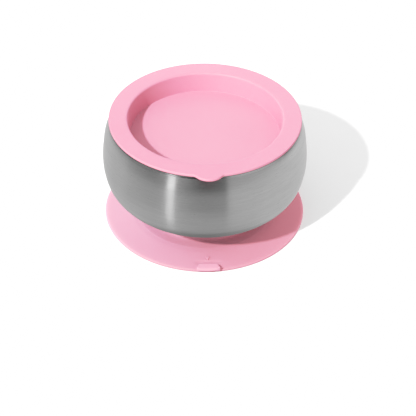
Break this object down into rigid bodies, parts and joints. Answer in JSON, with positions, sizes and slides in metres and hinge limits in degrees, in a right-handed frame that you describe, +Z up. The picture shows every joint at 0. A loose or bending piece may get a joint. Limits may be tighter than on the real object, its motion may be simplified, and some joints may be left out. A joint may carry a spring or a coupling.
{
  "type": "suction bowl",
  "caption": "Small double-wall steel feeding bowl with a bulged side, seated in a silicone suction base with a release tab and closed by a silicone lid with a pull tab.",
  "frame": {"origin": "on the table plane, at the centre of the suction base's underside, on the bowl's axis", "axes": "+Z up along the bowl's axis; -Y towards the base's release tab and the lid's pull tab; +X to the right when seen from the tabs"},
  "size_m": [0.127, 0.1289, 0.0716],
  "materials": {
    "base_silicone": "matte silicone, rose pink",
    "lid_silicone": "matte silicone, light pink",
    "brushed_steel": "brushed round the axis",
    "satin_steel": "satin, food side",
    "foot_steel": "satin, drawn"
  },
  "bodies": {
    "skirt": {"suction_skirt": "base_silicone"},
    "tab": {"release_tab": "base_silicone"},
    "socket": {"foot_socket": "base_silicone"},
    "bowl": {"foot_cap": "foot_steel", "outer_shell": "brushed_steel", "inner_liner": "satin_steel"},
    "lid": {"lid": "lid_silicone"},
    "lid_tab": {"lid_tab": "lid_silicone"}
  },
  "joints": [
    {"name": "suction_travel", "type": "slide", "parent": "skirt", "child": "socket", "axis": [0, 0, 1], "range_m": [0, 0.0025]},
    {"name": "release_tab_lift", "type": "hinge", "parent": "skirt", "child": "tab", "pos_m": [0, -0.05765, 0.0023], "axis": [-1, 0, 0], "range_deg": [0, 45]},
    {"name": "bowl_lift", "type": "slide", "parent": "socket", "child": "bowl", "axis": [0, 0, 1], "range_m": [0, 0.04]},
    {"name": "lid_lift", "type": "slide", "parent": "bowl", "child": "lid", "axis": [0, 0, 1], "range_m": [0, 0.06]},
    {"name": "lid_tab_flex", "type": "hinge", "parent": "lid", "child": "lid_tab", "pos_m": [0, -0.05865, 0.07165], "axis": [-1, 0, 0], "range_deg": [0, 45]}
  ]
}
